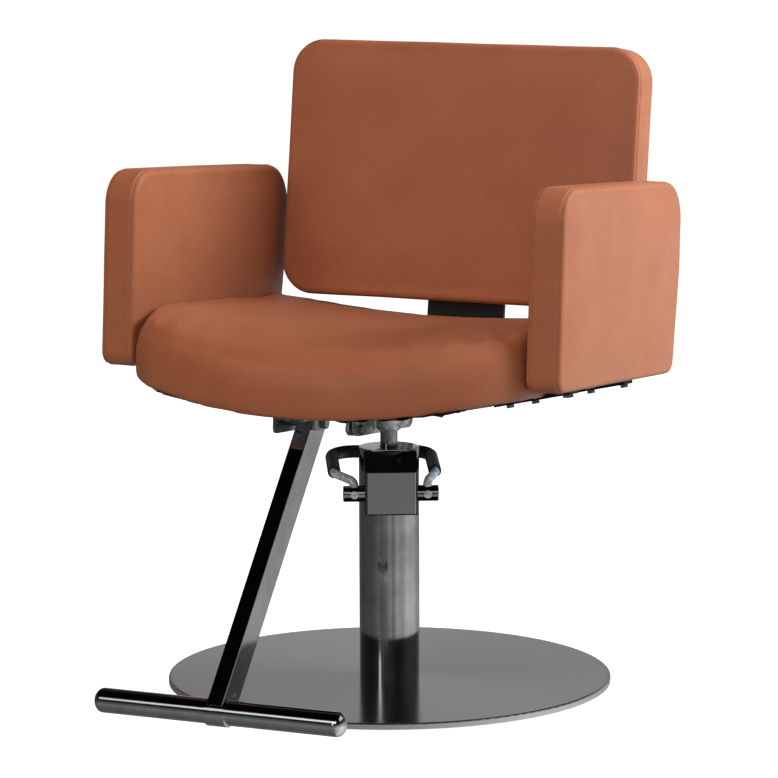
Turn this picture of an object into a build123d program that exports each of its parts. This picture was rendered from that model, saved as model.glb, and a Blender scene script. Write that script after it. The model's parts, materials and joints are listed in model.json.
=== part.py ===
from build123d import *
import math
import os

# Salon styling chair on a hydraulic pump and a round base plate. Millimetres and degrees.
# Row frame: origin on the floor on the swivel axis, +Z up, the sitter faces -Y, the sitter's left is +X.

# ---- Base and column, which stand still ----
PUMP_TURN = 28.0  # the pump's own front (-Y in its frame) is turned this much about +Z from the seat's front
PAD_R, PAD_T = 288.0, 3.0
PLATE_R, PLATE_T, PLATE_EDGE_R = 305.0, 8.5, 2.0
PLATE_TOP = PAD_T + PLATE_T
TUBE_R, TUBE_WALL, TUBE_TOP = 41.5, 3.0, 327.0
TUBE_BORE_R = TUBE_R - TUBE_WALL
CAP_T = 2.0
FOOT_T = 15.5
FOOT_R = TUBE_BORE_R - 0.1
BASE_BOLT_PCD, BASE_BOLT_COUNT, M8_R = 58.0, 4, 4.0
BARREL_R, BARREL_BORE_R = 21.0, 17.0
BARREL_BASE, BARREL_FLOOR, BARREL_TOP = 19.0, 27.0, 296.0

# ---- Pump head, in the pump's own frame ----
HEAD_HALF, HEAD_BOTTOM, HEAD_SHOULDER = 36.0, 243.0, 303.0
HEAD_FRONT, HEAD_CREST, HEAD_SEAM = -58.0, -34.0, -20.7
COVER_W, COVER_H, COVER_T, COVER_EDGE = 67.0, 59.0, 2.2, 1.2
SHAFT_Y, SHAFT_Z, SHAFT_R, SHAFT_HALF = -44.0, 271.0, 11.0, 65.0
RUNNING = 0.05  # radial running clearance
SHAFT_BUSH_R, SHAFT_BUSH_L = 12.5, 12.0
CAM_HALF_SLOT, CAM_SLOT_BOTTOM, CAM_SLOT_TOP = 9.0, 252.0, 292.0
CAM_T, CAM_R, CAM_REACH, CAM_DROP, CAM_TIP_R = 14.0, 13.5, 15.0, 6.0, 4.0
GLAND_TOP, SEAL_TOP = 318.0, 324.0

# ---- Plunger pump beside the cylinder ----
PLUNGER_Y = SHAFT_Y + CAM_REACH
PLUNGER_R, PLUNGER_CHAMFER = 5.0, 1.8
PLUNGER_TOP = SHAFT_Z - CAM_DROP - CAM_TIP_R - 0.3
PLUNGER_BOTTOM = 180.0
PUMP_BARREL_R, PUMP_BARREL_BOTTOM, PUMP_BARREL_TOP = 8.0, 140.0, 246.0
VALVE_SPIGOT = 2.0
SPRING_COILS, SPRING_WIRE_R, SPRING_R = 7, 0.6, 3.9

# ---- Pedal hoop ----
ROD_R, SLEEVE_R = 6.0, 9.0
ROD_IN_SHAFT_X, HOOP_HALF, HOOP_BACK, HOOP_Z = 50.0, 69.0, 95.0, 306.0
HOOP_SHIFT = -7.0  # the hoop stands a little to its right-hand side of the column
ROD_RISE_Z, HOOP_FRONT_Y, HOOP_FRONT_Z, HOOP_CORNER = 288.0, -24.0, 296.0, 32.0
SLEEVE_FRONT_Y = -16.0
SET_SCREW_R = 5.5

# ---- Ram ----
RAM_R, RAM_BOTTOM, RAM_SHOULDER = 12.0, 60.0, 352.0
SPINDLE_R, SPINDLE_TOP = 10.5, 378.0
PISTON_T, SEAL_T = 18.0, 5.0
THRUST_R, THRUST_T = 15.0, 2.5

# ---- Seat frame: raked so that the front edge is higher ----
RAKE = 4.1
PAN_Z = 391.0  # underside of the seat pan above the swivel axis
SEAT_HALF_FRONT, SEAT_HALF_REAR = 286.0, 277.0
SEAT_NOSE, SEAT_SHOULDER_X, SEAT_SHOULDER_Y = -310.0, 215.0, -272.0
SEAT_SIDE_Y, SEAT_REAR, SEAT_REAR_CORNER = -195.0, 230.0, 28.0
SADDLE_RISE, SADDLE_HALF = 36.5, 287.0  # the pan is bent: its sides stand this much above its middle
CUSHION_MID, CUSHION_SIDE = 104.0, 130.0
WATERFALL_R, REAR_ROLL_R, SEAT_LOW_EDGE_R = 85.0, 30.0, 11.0
PAN_T, PAN_INSET = 12.0, 14.0
DUST_T, DUST_INSET = 1.2, 8.0

# ---- Under the seat ----
MOUNT_W, MOUNT_T, MOUNT_CORNER, MOUNT_BOLT = 150.0, 6.0, 10.0, 60.0
CHANNEL_FRONT, CHANNEL_REAR, CHANNEL_DEPTH = -58.0, 130.0, 46.0
WEB_T, WEB_LEFT, WEB_RIGHT, LIP_DEPTH = 4.0, -37.0, 28.0, 16.0
FLANGE_T, FLANGE_GAP, CHANNEL_CORNER = 5.0, 5.0, 12.0
CHANNEL_BOLTS = ((-42.0, -37.0), (27.0, -35.0))
HUB_R, HUB_BUSH_R, HUB_BUSH_TOP = 17.0, 12.5, 375.0
STRIP_T, STRIP_W, STRIP_CORNER = 5.0, 42.0, 8.0
STRIP_IN, STRIP_TANGENT, STRIP_OUT = 205.0, 250.0, 313.0
STRIP_PLACES = (-100.0, 95.0)
STRIP_PAN_BOLTS, STRIP_ARM_BOLT, ARM_BOLT_R = (222.0, 258.0), 306.0, 3.2

# ---- Arms ----
ARM_T, ARM_INNER_X, ARM_TOE = 50.0, 287.5, 1.2
ARM_FRONT, ARM_REAR, ARM_REAR_LOW = -209.0, 242.0, 225.0
ARM_BOTTOM, ARM_TOP = 43.5, 309.5
ARM_TOP_FRONT_R, ARM_TOP_REAR_R, ARM_LOW_R, ARM_EDGE_R = 46.0, 56.0, 20.0, 9.0
ARM_CORE_T, ARM_CORE_INSET = 24.0, 16.0

# ---- Back ----
RECLINE = 8.0
BACK_FRONT_Y, BACK_BOTTOM_Z = 205.0, 504.5
BACK_W, BACK_H, BACK_T, BACK_CORNER = 536.0, 364.0, 57.0, 46.0
BACK_EDGE_R = 9.0
BOARD_T, BOARD_INSET, BOARD_FROM_REAR = 12.0, 16.0, 4.0
STRAP_W, STRAP_T, STRAP_BEND = 118.0, 6.0, 14.0
STRAP_TOP, STRAP_LEG_END = 190.0, 92.0
STRAP_BOLT_X, STRAP_BOLTS_Y, BACK_BOLTS_Z = 38.0, (152.0, 194.0), (60.0, 160.0)

# ---- Footrest ----
BAR_Y, BAR_Z, BAR_R, BAR_L, BAR_WALL = -514.0, 65.5, 16.2, 356.0, 2.0
CAP_DOME = 12.0
STRUT_W, STRUT_D, STRUT_WALL = 22.5, 40.0, 2.5
STRUT_TOP_Y, STRUT_TOP_Z = -247.0, 388.5
COLLAR_W, COLLAR_T = 28.0, 2.4
BRACKET_LEFT, BRACKET_RIGHT, BRACKET_T = -28.0, 17.0, 4.0
BRACKET_DEPTH, BRACKET_DEPTH_RIGHT = 22.5, 19.0
BRACKET_FRONT, BRACKET_FRONT_RIGHT, BRACKET_REAR = -300.0, -268.0, -222.0
FOOT_BOLT_Y, FOOT_BOLT_Z = -240.0, -10.5
SCREW_R, BRACKET_SCREW_Y, BRACKET_SCREWS_X = 2.5, -284.0, (-16.0, 6.0)
BRACKET_CORNER, SPACER_R = 7.0, 6.5

# ---- Fasteners ----
HEX_CORNER, HEX_HEIGHT = 1.75, 1.3  # of a hex head or nut, as multiples of its bolt's shank radius

PUMP = Rot(0, 0, PUMP_TURN)
SEAT = Pos(0, 0, PAN_Z) * Rot(-RAKE, 0, 0)
BACK = Pos(0, BACK_FRONT_Y, BACK_BOTTOM_Z) * Rot(-RECLINE, 0, 0)


def rod(r, z0, z1):
    """Upright solid cylinder from z0 to z1."""
    return Pos(0, 0, (z0 + z1) / 2) * Cylinder(r, z1 - z0)


def ring(r_out, r_in, z0, z1):
    """Upright tube from z0 to z1."""
    return rod(r_out, z0, z1) - rod(r_in, z0 - 1, z1 + 1)


def block(x0, x1, y0, y1, z0, z1):
    """Box between two corners."""
    return Pos((x0 + x1) / 2, (y0 + y1) / 2, (z0 + z1) / 2) * Box(x1 - x0, y1 - y0, z1 - z0)


def cross_rod(r, x0, x1, y=0.0, z=0.0):
    """Solid cylinder along X from x0 to x1."""
    return Pos((x0 + x1) / 2, y, z) * Rot(0, 90, 0) * Cylinder(r, x1 - x0)


def cross_hex(shank_r, x0, y=0.0, z=0.0):
    """Hex head or nut of a bolt that lies along X, from x0 towards +X."""
    height = HEX_HEIGHT * shank_r
    return Pos(x0, y, z) * Rot(0, 90, 0) * extrude(RegularPolygon(HEX_CORNER * shank_r, 6), height)


def hex_bolt(shank_r, shank_l):
    """Bolt pointing up from its hex head: the head's top face is at z = 0."""
    height = HEX_HEIGHT * shank_r
    head = Pos(0, 0, -height) * extrude(RegularPolygon(HEX_CORNER * shank_r, 6), height)
    return head + rod(shank_r, 0, shank_l)


def both_sides(shape):
    """The shape and its mirror image across X = 0."""
    return shape + mirror(shape, Plane.YZ)


def save(name, shape):
    export_step(shape, f"parts/{name}.step")


# ---------------------------------------------------------------- base and column
def base_bolt_places():
    return [Rot(0, 0, 45 + 90 * i) * Pos(BASE_BOLT_PCD / 2, 0, 0) for i in range(BASE_BOLT_COUNT)]


def base_parts():
    csk = Pos(0, 0, PAD_T + 2) * Cone(2 * M8_R, M8_R, 4)
    shank = rod(M8_R, PAD_T + 4, PLATE_TOP + 13)
    screws = [place * (csk + shank) for place in base_bolt_places()]
    plate = rod(PLATE_R, PAD_T, PLATE_TOP)
    plate = fillet(plate.edges().group_by(Axis.Z)[-1], PLATE_EDGE_R)
    foot = rod(FOOT_R, PLATE_TOP, PLATE_TOP + FOOT_T) - rod(BARREL_R, BARREL_BASE, BARREL_FLOOR + 1)
    for screw in screws:
        plate -= screw
        foot -= screw
    save("floor_pad", rod(PAD_R, 0, PAD_T))
    save("base_plate", plate)
    save("column_foot", foot)
    save("base_screws", Compound(children=screws))


def column_parts():
    window = block(-HEAD_HALF, HEAD_HALF, HEAD_FRONT - 9, HEAD_SEAM, HEAD_BOTTOM, TUBE_TOP + 1)
    tube = ring(TUBE_R, TUBE_BORE_R, PLATE_TOP, TUBE_TOP)
    cap = ring(TUBE_R, RAM_R + 1.5, TUBE_TOP, TUBE_TOP + CAP_T)
    cap = fillet(cap.edges().group_by(Axis.Z)[-1].sort_by(SortBy.LENGTH)[-1:], 1.0)
    cap -= block(-HEAD_HALF - 9, HEAD_HALF + 9, -60, HEAD_CREST + 1, TUBE_TOP - 1, TUBE_TOP + CAP_T + 1)
    save("column_tube", PUMP * (tube - window))
    save("column_cap", PUMP * cap)
    barrel = rod(BARREL_R, BARREL_BASE, BARREL_TOP) - rod(BARREL_BORE_R, BARREL_FLOOR, BARREL_TOP + 1)
    save("cylinder_barrel", barrel)
    save("ram_guide_bush", ring(BARREL_BORE_R, RAM_R + RUNNING, BARREL_TOP, GLAND_TOP))
    save("ram_wiper_seal", ring(BARREL_BORE_R, RAM_R + RUNNING, GLAND_TOP, SEAL_TOP))


def head_part():
    """Black casting: a round plug inside the tube and a block that stands out through the tube's window."""
    outline = Polyline(
        (HEAD_FRONT, HEAD_BOTTOM), (HEAD_FRONT, HEAD_SHOULDER), (HEAD_CREST, TUBE_TOP),
        (HEAD_SEAM, TUBE_TOP), (HEAD_SEAM, HEAD_BOTTOM), close=True,
    )
    nose = extrude(Plane.YZ * make_face(outline), HEAD_HALF, both=True)
    head = nose + rod(FOOT_R, HEAD_BOTTOM, TUBE_TOP)
    head -= rod(BARREL_R, HEAD_BOTTOM - 1, BARREL_TOP)
    head -= rod(BARREL_BORE_R, BARREL_TOP - 1, SEAL_TOP)
    head -= rod(RAM_R + 1.5, SEAL_TOP - 1, TUBE_TOP + 1)
    head -= block(-CAM_HALF_SLOT, CAM_HALF_SLOT, HEAD_FRONT - 1, -22, CAM_SLOT_BOTTOM, CAM_SLOT_TOP)
    head -= cross_rod(SHAFT_R + 0.3, -HEAD_HALF - 1, HEAD_HALF + 1, SHAFT_Y, SHAFT_Z)
    bush_hole = cross_rod(SHAFT_BUSH_R, HEAD_HALF - SHAFT_BUSH_L, HEAD_HALF + 1, SHAFT_Y, SHAFT_Z)
    head -= both_sides(bush_hole)
    head -= Pos(0, PLUNGER_Y, 0) * rod(PUMP_BARREL_R, HEAD_BOTTOM - 1, PUMP_BARREL_TOP)
    head -= Pos(0, PLUNGER_Y, 0) * rod(PLUNGER_R + 0.4, HEAD_BOTTOM, CAM_SLOT_BOTTOM + 1)
    return head


def filler_plug():
    """Socket screw that closes the oil filler on the head's sloping face."""
    slope = math.degrees(math.atan2(TUBE_TOP - HEAD_SHOULDER, HEAD_CREST - HEAD_FRONT))
    seat = Pos(12, (HEAD_FRONT + HEAD_CREST) / 2, (HEAD_SHOULDER + TUBE_TOP) / 2) * Rot(slope, 0, 0)
    screw = seat * (rod(4.5, -7, 1.4) - extrude(Pos(0, 0, -1) * RegularPolygon(2.4, 6), 3))
    return screw, seat * rod(4.5, -7, 5)


def pump_parts():
    plug, plug_hole = filler_plug()
    bush = cross_rod(SHAFT_BUSH_R, HEAD_HALF - SHAFT_BUSH_L, HEAD_HALF, SHAFT_Y, SHAFT_Z)
    bush -= cross_rod(SHAFT_R + RUNNING, 0, HEAD_HALF + 1, SHAFT_Y, SHAFT_Z)
    cover = block(-COVER_W / 2, COVER_W / 2, HEAD_FRONT - COVER_T, HEAD_FRONT,
                  HEAD_SHOULDER - COVER_H, HEAD_SHOULDER)
    cover = fillet(cover.edges().filter_by(Axis.Y), 1.5)
    cover = chamfer(cover.faces().sort_by(Axis.Y)[0].edges(), COVER_EDGE)
    barrel = ring(PUMP_BARREL_R, PLUNGER_R + RUNNING, PUMP_BARREL_BOTTOM, PUMP_BARREL_TOP)
    valve_base = rod(PUMP_BARREL_R, PUMP_BARREL_BOTTOM - 12, PUMP_BARREL_BOTTOM)
    valve = valve_base + rod(PLUNGER_R, PUMP_BARREL_BOTTOM - 1, PUMP_BARREL_BOTTOM + VALVE_SPIGOT)
    save("pump_head", PUMP * (head_part() - plug_hole))
    save("oil_filler_plug", PUMP * plug)
    save("pump_cover_plate", PUMP * cover)
    save("pedal_shaft_bushes", PUMP * both_sides(bush))
    save("plunger_barrel", PUMP * Pos(0, PLUNGER_Y, 0) * barrel)
    save("intake_valve", PUMP * Pos(0, PLUNGER_Y, 0) * valve)


# ---------------------------------------------------------------- pedal and plunger
def hoop_corners(start_y):
    """Corners of the pedal's hoop, from one side round the back of the column to the other."""
    sides = (HOOP_SHIFT - HOOP_HALF, HOOP_SHIFT + HOOP_HALF)
    rise = (HOOP_Z - HOOP_FRONT_Z) / (HOOP_BACK - HOOP_FRONT_Y)
    start_z = HOOP_FRONT_Z + rise * (start_y - HOOP_FRONT_Y)
    return [(sides[0], start_y, start_z), (sides[0], HOOP_BACK, HOOP_Z),
            (sides[1], HOOP_BACK, HOOP_Z), (sides[1], start_y, start_z)]


def rod_along(line, radius):
    return sweep(Plane(line @ 0, z_dir=line % 0) * Circle(radius), path=line)


def pedal_parts():
    rise = [(x, SHAFT_Y, z) for x in (-ROD_IN_SHAFT_X, ROD_IN_SHAFT_X) for z in (SHAFT_Z, ROD_RISE_Z)]
    points = rise[:2] + hoop_corners(HOOP_FRONT_Y) + [rise[3], rise[2]]
    line = FilletPolyline(*points, radius=[9.0, 12.0, HOOP_CORNER, HOOP_CORNER, 12.0, 9.0])
    cover_line = FilletPolyline(*hoop_corners(SLEEVE_FRONT_Y), radius=HOOP_CORNER)
    shaft = cross_rod(SHAFT_R, -SHAFT_HALF, SHAFT_HALF, SHAFT_Y, SHAFT_Z)
    shaft = chamfer(shaft.edges().filter_by(GeomType.CIRCLE), 0.8)
    shaft -= both_sides(Pos(ROD_IN_SHAFT_X, SHAFT_Y, 0) * rod(ROD_R, SHAFT_Z, SHAFT_Z + 2 * SHAFT_R))
    screw_place = Pos(ROD_IN_SHAFT_X, SHAFT_Y - SHAFT_R, SHAFT_Z) * Rot(90, 0, 0)
    shaft -= both_sides(screw_place * rod(SET_SCREW_R, -1.5, 5))
    screw = screw_place * rod(SET_SCREW_R, -1.5, 2.2)
    screw = chamfer(screw.edges().group_by(Axis.Y)[0], 0.6)
    screw -= screw_place * block(-9, 9, -0.8, 0.8, 1.2, 5)
    save("pedal_shaft", PUMP * shaft)
    save("pedal_rod", PUMP * rod_along(line, ROD_R))
    save("pedal_sleeve", PUMP * (rod_along(cover_line, SLEEVE_R) - rod_along(cover_line, ROD_R + 0.02)))
    save("pedal_set_screws", PUMP * both_sides(screw))


def cam_and_plunger():
    tip_z = SHAFT_Z - CAM_DROP
    arm_line = Polyline(
        (SHAFT_Y, SHAFT_Z + 9), (PLUNGER_Y, tip_z + CAM_TIP_R), (PLUNGER_Y, tip_z - CAM_TIP_R),
        (SHAFT_Y, tip_z - 1), close=True,
    )
    cam = extrude(Plane.YZ * make_face(arm_line), CAM_T / 2, both=True)
    cam += cross_rod(CAM_R, -CAM_T / 2, CAM_T / 2, SHAFT_Y, SHAFT_Z)
    cam += cross_rod(CAM_TIP_R, -CAM_T / 2, CAM_T / 2, PLUNGER_Y, tip_z)
    cam -= cross_rod(SHAFT_R, -CAM_T, CAM_T, SHAFT_Y, SHAFT_Z)
    spring_base = PUMP_BARREL_BOTTOM + VALVE_SPIGOT + SPRING_WIRE_R
    spring_l = PLUNGER_BOTTOM - SPRING_WIRE_R - spring_base
    spring = rod_along(Helix(pitch=spring_l / SPRING_COILS, height=spring_l, radius=SPRING_R), SPRING_WIRE_R)
    save("pump_cam", PUMP * cam)
    plunger = rod(PLUNGER_R, PLUNGER_BOTTOM, PLUNGER_TOP)
    plunger = chamfer(plunger.edges().group_by(Axis.Z)[-1], PLUNGER_CHAMFER)
    save("plunger", PUMP * Pos(0, PLUNGER_Y, 0) * plunger)
    save("plunger_spring", PUMP * Pos(0, PLUNGER_Y, spring_base) * spring)


# ---------------------------------------------------------------- ram
def ram_parts():
    piston = rod(BARREL_BORE_R - RUNNING, RAM_BOTTOM - PISTON_T, RAM_BOTTOM)
    seal_z = RAM_BOTTOM - PISTON_T / 2 - SEAL_T / 2
    groove = ring(BARREL_BORE_R + 1, BARREL_BORE_R - 3, seal_z, seal_z + SEAL_T)
    bolt = Pos(0, 0, RAM_BOTTOM - PISTON_T) * hex_bolt(5, PISTON_T + 20)
    ram = rod(RAM_R, RAM_BOTTOM, RAM_SHOULDER) + rod(SPINDLE_R, RAM_SHOULDER - 1, SPINDLE_TOP)
    ram = chamfer(ram.edges().group_by(Axis.Z)[-1], 1.0)
    clip_z = HUB_BUSH_TOP + 0.2
    clip = ring(HUB_BUSH_R - 0.8, SPINDLE_R - 0.8, clip_z, clip_z + 1.5)
    save("piston", piston - groove - bolt)
    save("piston_seal", ring(BARREL_BORE_R - RUNNING, BARREL_BORE_R - 3, seal_z, seal_z + SEAL_T))
    save("piston_bolt", bolt)
    save("ram", ram - bolt - clip)
    save("ram_retaining_ring", clip)
    save("thrust_washer", ring(THRUST_R, SPINDLE_R + RUNNING, RAM_SHOULDER, RAM_SHOULDER + THRUST_T))


# ---------------------------------------------------------------- seat
def seat_outline(inset=0.0):
    """Plan of the seat: bowed front, rounded front corners, sides that close in towards the back."""
    shoulder = (SEAT_SHOULDER_X, SEAT_SHOULDER_Y)
    front = ThreePointArc((-SEAT_SHOULDER_X, SEAT_SHOULDER_Y), (0, SEAT_NOSE), shoulder)
    corner = TangentArc(shoulder, (SEAT_HALF_FRONT, SEAT_SIDE_Y), tangent=front % 1)
    side = Line((SEAT_HALF_FRONT, SEAT_SIDE_Y), (SEAT_HALF_REAR, SEAT_REAR))
    rear = Line((SEAT_HALF_REAR, SEAT_REAR), (-SEAT_HALF_REAR, SEAT_REAR))
    other = [mirror(edge, Plane.YZ) for edge in (side, corner)]
    face = make_face([front, corner, side, rear] + other)
    face = fillet(face.vertices().group_by(Axis.Y)[-1], SEAT_REAR_CORNER)
    return offset(face, -inset) if inset else face


def seat_prism(inset=0.0):
    return extrude(Pos(0, 0, -60) * seat_outline(inset), 260)


def saddle_radius(rise):
    """Radius of an arc across the seat that stands this much above its middle at SADDLE_HALF."""
    return (SADDLE_HALF**2 + rise**2) / (2 * rise)


def saddle_z(x, rise=SADDLE_RISE):
    """Height of that arc above its middle at this X."""
    radius = saddle_radius(rise)
    return radius - math.sqrt(radius**2 - x**2)


def saddle(low, high, high_rise=SADDLE_RISE):
    """A bent slab across the seat, from low to high at its middle. Its low face bends as the pan does."""
    half, half_length = SADDLE_HALF + 6, 340.0
    low_end, high_end = low + saddle_z(half), high + saddle_z(half, high_rise)
    under = ThreePointArc((-half, low_end), (0, low), (half, low_end))
    over = ThreePointArc((-half, high_end), (0, high), (half, high_end))
    ends = [Line(under @ i, over @ i) for i in (0, 1)]
    return extrude(Plane.XZ * make_face([under, over] + ends), half_length, both=True)


def seat_side_profile():
    """Side view of the cushion, with its rolled front and rear edges."""
    top, rear, low = CUSHION_SIDE + 20, SEAT_REAR + 1, -10
    roll_start = (SEAT_NOSE - 2, CUSHION_SIDE - WATERFALL_R)
    roll_end = (SEAT_NOSE + WATERFALL_R + 12, CUSHION_SIDE - 6)
    front = RadiusArc(roll_start, roll_end, WATERFALL_R + 6)
    rear_start, rear_end = (rear - REAR_ROLL_R, CUSHION_SIDE - 4), (rear, CUSHION_SIDE - 4 - REAR_ROLL_R)
    back = RadiusArc(rear_start, rear_end, REAR_ROLL_R)
    upper = Polyline(roll_end, (-120, top - 15), (0, top), rear_start)
    lower = Polyline(rear_end, (rear, low), (SEAT_NOSE - 2, low), roll_start)
    return extrude(Plane.YZ * make_face([front, upper, back, lower]), 300, both=True)


def mount_bolt_places():
    return [Pos(x, y, 0) for x in (-MOUNT_BOLT, MOUNT_BOLT) for y in (-MOUNT_BOLT, MOUNT_BOLT)]


def strap_bolt_places():
    return [Pos(x, y, 0) for x in (-STRAP_BOLT_X, STRAP_BOLT_X) for y in STRAP_BOLTS_Y]


def bracket_screw_places():
    return [Pos(x, BRACKET_SCREW_Y, 0) for x in BRACKET_SCREWS_X]


def seat_parts():
    bolt_holes = [place * rod(M8_R + 0.3, -9, 22) for place in mount_bolt_places() + strap_bolt_places()]
    screw_holes = [place * rod(SCREW_R, -9, 9) for place in bracket_screw_places()]
    screw_holes += [both_sides(strip_frame(y) * Pos(along_strip(x), 0, 0) * rod(ARM_BOLT_R, -9, 9))
                    for y in STRIP_PLACES for x in STRIP_PAN_BOLTS]
    pan = saddle(0, PAN_T) & seat_prism(PAN_INSET)
    cushion = saddle(0, CUSHION_MID, CUSHION_SIDE - CUSHION_MID) & seat_prism() & seat_side_profile()
    cushion = fillet(cushion.faces().sort_by(Axis.Z)[0].edges(), SEAT_LOW_EDGE_R)
    cushion -= saddle(-40, PAN_T) & seat_prism(PAN_INSET)
    for hole in bolt_holes:
        cushion -= hole
    for hole in bolt_holes + screw_holes:
        pan -= hole
    dust = saddle(-DUST_T, 0) & seat_prism(DUST_INSET + PAN_INSET)
    dust -= block(-MOUNT_W / 2 - 4, MOUNT_W / 2 + 4, -MOUNT_W / 2 - 4, MOUNT_W / 2 + 4, -9, 9)
    dust -= block(-STRAP_W / 2 - 4, STRAP_W / 2 + 4, STRAP_LEG_END - 30, SEAT_REAR, -9, 9)
    dust -= block(BRACKET_LEFT - 4, BRACKET_RIGHT + 4, SEAT_NOSE, BRACKET_REAR + 14, -9, 9)
    for y in STRIP_PLACES:
        room = block(along_strip(STRIP_IN) - 3, 100, -STRIP_W / 2 - 3, STRIP_W / 2 + 3, -12, 8)
        dust -= both_sides(strip_frame(y) * room)
    save("seat_pan", SEAT * pan)
    save("seat_cushion", SEAT * cushion)
    save("dust_cover", SEAT * dust)


def mount_parts():
    plate = block(-MOUNT_W / 2, MOUNT_W / 2, -MOUNT_W / 2, MOUNT_W / 2, -MOUNT_T, 0)
    plate = fillet(plate.edges().filter_by(Axis.Z), MOUNT_CORNER)
    bolts = [place * Pos(0, 0, -MOUNT_T) * hex_bolt(M8_R, MOUNT_T + 18) for place in mount_bolt_places()]
    for place in mount_bolt_places():
        plate -= place * rod(M8_R + 0.3, -9, 9)
    web_bottom = -MOUNT_T - WEB_T
    channel = block(WEB_LEFT, WEB_RIGHT, CHANNEL_FRONT, CHANNEL_REAR, web_bottom, -MOUNT_T)
    channel += block(WEB_RIGHT - WEB_T, WEB_RIGHT, CHANNEL_FRONT, CHANNEL_REAR, -LIP_DEPTH, -MOUNT_T)
    inner_x = WEB_LEFT + FLANGE_T + FLANGE_GAP
    for x in (WEB_LEFT, inner_x):
        flange = block(x, x + FLANGE_T, CHANNEL_FRONT, CHANNEL_REAR, -CHANNEL_DEPTH, -MOUNT_T)
        channel += fillet(flange.edges().filter_by(Axis.X).group_by(Axis.Z)[0], CHANNEL_CORNER)
    pins = []
    for y, z in CHANNEL_BOLTS:
        head = cross_hex(M8_R, inner_x + FLANGE_T, y, z)
        nut = cross_hex(M8_R, WEB_LEFT - HEX_HEIGHT * M8_R, y, z)
        channel -= cross_rod(M8_R + 0.2, WEB_LEFT - 1, inner_x + FLANGE_T + 1, y, z)
        pins.append(head + cross_rod(M8_R, WEB_LEFT, inner_x + FLANGE_T, y, z) + nut)
    ceiling = SEAT * block(-60, 60, -60, 60, web_bottom, 60)
    hub_bottom = RAM_SHOULDER + THRUST_T
    save("seat_mount_plate", SEAT * plate)
    save("seat_mount_bolts", SEAT * Compound(children=bolts))
    save("swivel_channel", SEAT * channel)
    save("channel_bolts", SEAT * Compound(children=pins))
    save("swivel_hub", ring(HUB_R, HUB_BUSH_R, hub_bottom, PAN_Z) - ceiling)
    save("hub_bush", ring(HUB_BUSH_R, SPINDLE_R + RUNNING, hub_bottom, HUB_BUSH_TOP))


# ---------------------------------------------------------------- arms
def strip_tilt():
    """Slope of the bent pan where the arm strips touch it."""
    return math.asin(STRIP_TANGENT / saddle_radius(SADDLE_RISE))


def strip_frame(y):
    """Frame on the pan's underside where a strip touches it: its X runs outward, on the sitter's left."""
    return Pos(STRIP_TANGENT, y, saddle_z(STRIP_TANGENT)) * Rot(0, -math.degrees(strip_tilt()), 0)


def along_strip(x):
    """Distance along a strip from where it touches the pan to this X."""
    return (x - STRIP_TANGENT) / math.cos(strip_tilt())


def arm_outline(inset=0.0):
    """Side view of an arm in the YZ plane."""
    low, high = ARM_BOTTOM + inset, ARM_TOP - inset
    front, rear, rear_low = ARM_FRONT + inset, ARM_REAR - inset, ARM_REAR_LOW - inset
    corners = [(front, low), (front, high), (rear, high), (rear, high - 120), (rear_low, low)]
    face = make_face(Polyline(*corners, close=True))
    rounds = [(front, high, ARM_TOP_FRONT_R - inset), (rear, high, ARM_TOP_REAR_R - inset),
              (front, low, ARM_LOW_R - inset / 2), (rear_low, low, ARM_LOW_R - inset / 2)]
    for y, z, radius in rounds:
        corner = face.vertices().sort_by_distance(Vector(y, z, 0))[0]
        face = fillet(corner, radius)
    return face


def arm_parts():
    turn = Pos(ARM_INNER_X, SEAT_SIDE_Y, 0) * Rot(0, 0, ARM_TOE) * Pos(0, -SEAT_SIDE_Y, 0)
    pad = extrude(Plane.YZ * arm_outline(), ARM_T)
    sides = pad.faces().sort_by(Axis.X)
    pad = fillet(sides[0].edges() + sides[-1].edges(), ARM_EDGE_R)
    core = Pos((ARM_T - ARM_CORE_T) / 2, 0, 0) * extrude(Plane.YZ * arm_outline(ARM_CORE_INSET), ARM_CORE_T)
    pad, core = turn * (pad - core), turn * core
    strips, washers, bolts = [], [], []
    for y in STRIP_PLACES:
        frame = strip_frame(y)
        strip = block(along_strip(STRIP_IN), along_strip(STRIP_OUT), -STRIP_W / 2, STRIP_W / 2, -STRIP_T, 0)
        strip = fillet(strip.edges().filter_by(Axis.Z), STRIP_CORNER)
        for x in STRIP_PAN_BOLTS + (STRIP_ARM_BOLT,):
            place = Pos(along_strip(x), 0, 0)
            strip -= place * rod(ARM_BOLT_R, -9, 9)
            length = 14 if x in STRIP_PAN_BOLTS else 34
            bolts.append(frame * place * Pos(0, 0, -STRIP_T) * hex_bolt(ARM_BOLT_R, length))
        hole = frame * Pos(along_strip(STRIP_ARM_BOLT), 0, 0) * rod(ARM_BOLT_R, -1, 29)
        washer = frame * Pos(along_strip(STRIP_ARM_BOLT), 0, 0) * rod(8, 0, 30)
        washer -= block(200, 400, y - 40, y + 40, ARM_BOTTOM, 120)
        strips.append(frame * strip)
        washers.append(washer - hole)
        pad -= hole
        core -= hole
    for side, flip in (("left", False), ("right", True)):
        for name, shape in (("pad", pad), ("core", core), ("brackets", Compound(children=strips))):
            save(f"{side}_arm_{name}", SEAT * (mirror(shape, Plane.YZ) if flip else shape))
    washers += [mirror(shape, Plane.YZ) for shape in washers]
    bolts += [mirror(shape, Plane.YZ) for shape in bolts]
    save("arm_washers", SEAT * Compound(children=washers))
    save("arm_bolts", SEAT * Compound(children=bolts))


# ---------------------------------------------------------------- back
def back_panel(inset, y0, y1):
    face = Pos(0, BACK_H / 2) * RectangleRounded(BACK_W - 2 * inset, BACK_H - 2 * inset, BACK_CORNER - inset)
    return extrude(Plane.XZ.offset(-y0) * face, -(y1 - y0))


def back_bolt_places():
    return [Pos(x, 0, z) for x in (-STRAP_BOLT_X, STRAP_BOLT_X) for z in BACK_BOLTS_Z]


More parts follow.
